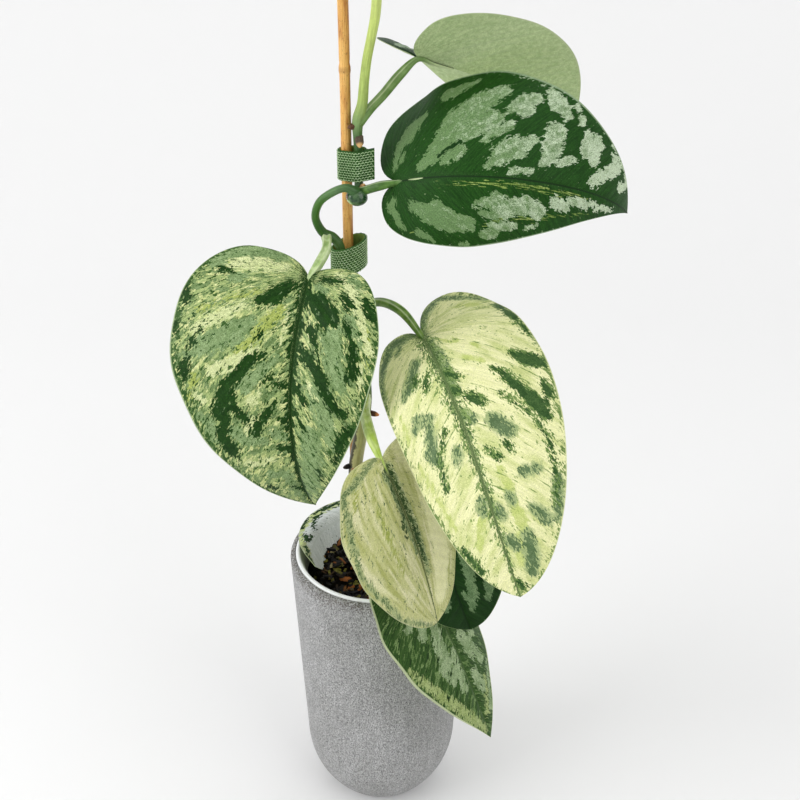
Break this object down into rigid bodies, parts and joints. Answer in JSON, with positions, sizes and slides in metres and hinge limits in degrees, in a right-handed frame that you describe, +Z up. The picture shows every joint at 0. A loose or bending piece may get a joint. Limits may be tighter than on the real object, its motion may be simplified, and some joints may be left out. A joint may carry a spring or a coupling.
{
  "type": "potted satin pothos",
  "caption": "Climbing house plant with heart-shaped variegated leaves, tied to a bamboo stake in a nursery pot inside a rounded planter.",
  "frame": {"origin": "centre of the planter's flat foot, on the surface that it stands on", "axes": "+Z up along the stake; -Y is the side that the leaves face"},
  "size_m": [0.2143, 0.1991, 0.5031],
  "materials": {
    "planter": "matt, slightly gritty",
    "nursery_pot": "glossy white",
    "substrate": "damp bark mix",
    "stake": "split bamboo, satin",
    "tie": "woven hook-and-loop",
    "stem": "smooth and green",
    "leaf_silver": "satin, with silver patches",
    "leaf_mottled": "satin, mottled green and silver",
    "leaf_cream": "satin, cream with green flecks"
  },
  "bodies": {
    "root": {"planter": "planter", "nursery_pot": "nursery_pot", "substrate": "substrate", "stake": "stake", "tie_upper": "tie", "tie_lower": "tie", "vine_stem": "stem", "leaf_upper_front": "leaf_silver", "leaf_left": "leaf_mottled", "leaf_right": "leaf_cream", "leaf_top_back": "leaf_mottled", "leaf_lower_front": "leaf_cream", "leaf_lower_dark": "leaf_silver", "leaf_hanging": "leaf_silver", "leaf_in_pot": "leaf_mottled"}
  },
  "joints": []
}
